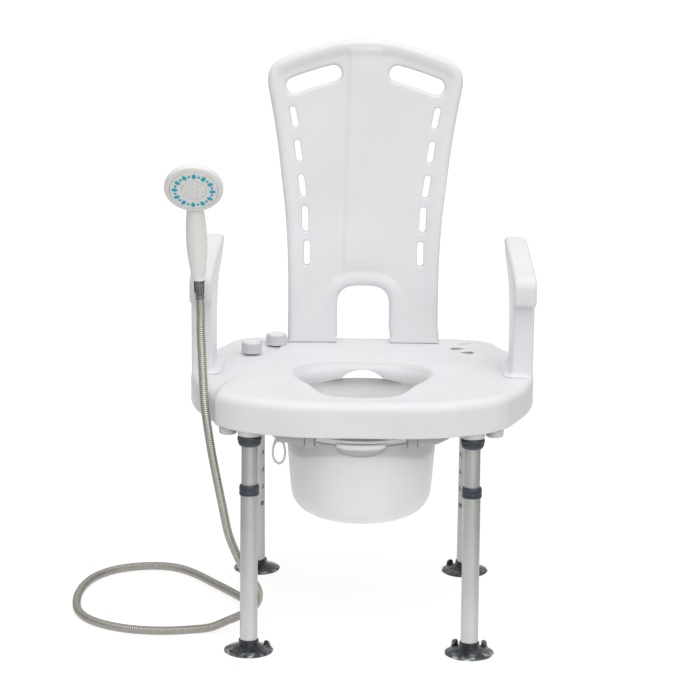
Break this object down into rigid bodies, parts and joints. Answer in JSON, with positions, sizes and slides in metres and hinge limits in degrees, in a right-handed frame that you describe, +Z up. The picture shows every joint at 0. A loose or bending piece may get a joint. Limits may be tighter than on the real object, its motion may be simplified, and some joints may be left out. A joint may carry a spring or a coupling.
{
  "type": "shower commode chair",
  "caption": "Shower commode chair with moulded seat and tall backrest, lift-off arms, telescopic legs on suction feet, slide-out pail, and a hand shower on a metal hose.",
  "frame": {"origin": "bottom centre of the chair's box on the floor, measured without the hose and its end nut", "axes": "+Z up, -Y towards the front of the seat, +X to the right as seen from the front"},
  "size_m": [0.7586, 0.5074, 0.919],
  "materials": {
    "white_shell": "satin gloss moulded plastic",
    "pearl_shell": "satin moulded plastic, a shade greyer than the seat",
    "arm_top": "fine-grained plastic",
    "aluminium_tube": "satin anodised",
    "collar_dark": "dark blue-grey moulded plastic",
    "foot_rubber": "smoky semi-gloss rubber",
    "button_steel": "plain steel",
    "grey_plastic": "ribbed grey plastic",
    "rail_grey": "plain grey plastic",
    "knob_white": "gloss",
    "pail_white": "smooth polypropylene",
    "handset_white": "gloss warm white",
    "nozzle_teal": "soft teal nozzles",
    "chrome_fitting": "polished",
    "hose_steel": "ribbed spiral steel"
  },
  "bodies": {
    "root": {"seat": "white_shell", "seat_bumper_left": "grey_plastic", "seat_bumper_right": "grey_plastic", "leg_upper_tube_front_left": "aluminium_tube", "leg_upper_tube_front_right": "aluminium_tube", "leg_upper_tube_rear_left": "aluminium_tube", "leg_upper_tube_rear_right": "aluminium_tube", "upper_collar_front_left": "collar_dark", "upper_collar_front_right": "collar_dark", "upper_collar_rear_left": "collar_dark", "upper_collar_rear_right": "collar_dark", "pail_rail_left": "rail_grey", "pail_rail_right": "rail_grey", "rail_stop_left": "rail_grey", "rail_stop_right": "rail_grey", "splash_ring": "pail_white", "knob_bush_front": "grey_plastic", "knob_bush_rear": "grey_plastic", "shower_hose": "hose_steel", "hose_end_nut": "chrome_fitting"},
    "leg_front_left": {"leg_lower_tube_front_left": "aluminium_tube", "lower_collar_front_left": "collar_dark", "foot_front_left": "foot_rubber"},
    "leg_front_right": {"leg_lower_tube_front_right": "aluminium_tube", "lower_collar_front_right": "collar_dark", "foot_front_right": "foot_rubber"},
    "leg_rear_left": {"leg_lower_tube_rear_left": "aluminium_tube", "lower_collar_rear_left": "collar_dark", "foot_rear_left": "foot_rubber"},
    "leg_rear_right": {"leg_lower_tube_rear_right": "aluminium_tube", "lower_collar_rear_right": "collar_dark", "foot_rear_right": "foot_rubber"},
    "button_front_left": {"snap_button_front_left": "button_steel"},
    "button_front_right": {"snap_button_front_right": "button_steel"},
    "button_rear_left": {"snap_button_rear_left": "button_steel"},
    "button_rear_right": {"snap_button_rear_right": "button_steel"},
    "back": {"backrest": "pearl_shell"},
    "arm_left": {"arm_frame_left": "white_shell", "arm_pad_left": "arm_top", "handset_clip": "handset_white"},
    "arm_right": {"arm_frame_right": "white_shell", "arm_pad_right": "arm_top"},
    "handset": {"handset_body": "handset_white", "hose_connector": "chrome_fitting"},
    "spray_plate": {"spray_face": "handset_white", "nozzle_ring": "nozzle_teal", "spray_hub": "handset_white"},
    "pail_body": {"pail": "pail_white"},
    "pail_loop": {"pail_handle": "pail_white"},
    "knob_front": {"control_knob_front": "grey_plastic", "knob_cap_front": "knob_white"},
    "knob_rear": {"control_knob_rear": "grey_plastic", "knob_cap_rear": "knob_white"}
  },
  "joints": [
    {"name": "leg_slide_front_left", "type": "slide", "parent": "root", "child": "leg_front_left", "axis": [0, -0.0663, -0.9978], "range_m": [0, 0.093]},
    {"name": "leg_slide_front_right", "type": "slide", "parent": "root", "child": "leg_front_right", "axis": [0, -0.0663, -0.9978], "range_m": [0, 0.093]},
    {"name": "leg_slide_rear_left", "type": "slide", "parent": "root", "child": "leg_rear_left", "axis": [0, 0.0663, -0.9978], "range_m": [0, 0.093]},
    {"name": "leg_slide_rear_right", "type": "slide", "parent": "root", "child": "leg_rear_right", "axis": [0, 0.0663, -0.9978], "range_m": [0, 0.093]},
    {"name": "button_press_front_left", "type": "slide", "parent": "root", "child": "button_front_left", "axis": [-0.7431, -0.6677, 0.0443], "range_m": [0, 0.003], "stiffness_N_per_m": 400},
    {"name": "button_press_front_right", "type": "slide", "parent": "root", "child": "button_front_right", "axis": [0.7431, -0.6677, 0.0443], "range_m": [0, 0.003], "stiffness_N_per_m": 400},
    {"name": "button_press_rear_left", "type": "slide", "parent": "root", "child": "button_rear_left", "axis": [-0.7431, 0.6677, 0.0443], "range_m": [0, 0.003], "stiffness_N_per_m": 400},
    {"name": "button_press_rear_right", "type": "slide", "parent": "root", "child": "button_rear_right", "axis": [0.7431, 0.6677, 0.0443], "range_m": [0, 0.003], "stiffness_N_per_m": 400},
    {"name": "backrest_lift", "type": "slide", "parent": "root", "child": "back", "axis": [0, 0.1045, 0.9945], "range_m": [0, 0.06]},
    {"name": "arm_lift_left", "type": "slide", "parent": "root", "child": "arm_left", "axis": [0, 0, 1], "range_m": [0, 0.05]},
    {"name": "arm_lift_right", "type": "slide", "parent": "root", "child": "arm_right", "axis": [0, 0, 1], "range_m": [0, 0.05]},
    {"name": "handset_turn", "type": "hinge", "parent": "arm_left", "child": "handset", "pos_m": [-0.2432, -0.0934, 0.5795], "axis": [-0.0428, -0.0147, 0.999], "range_deg": [-40, 40]},
    {"name": "spray_selector", "type": "hinge", "parent": "handset", "child": "spray_plate", "pos_m": [-0.2492, -0.1324, 0.736], "axis": [0, -0.8572, -0.515], "range_deg": [-30, 30]},
    {"name": "pail_slide", "type": "slide", "parent": "root", "child": "pail_body", "axis": [0, 1, 0], "range_m": [0, 0.24]},
    {"name": "pail_loop_swing", "type": "hinge", "parent": "pail_body", "child": "pail_loop", "pos_m": [-0.1152, -0.0794, 0.315], "axis": [0, 1, 0], "range_deg": [0, 80]},
    {"name": "knob_turn_front", "type": "hinge", "parent": "root", "child": "knob_front", "pos_m": [-0.1672, 0.1006, 0.415], "axis": [0, 0, 1], "range_deg": [0, 90]},
    {"name": "knob_turn_rear", "type": "hinge", "parent": "root", "child": "knob_rear", "pos_m": [-0.1282, 0.1626, 0.415], "axis": [0, 0, 1], "range_deg": [0, 90]}
  ]
}
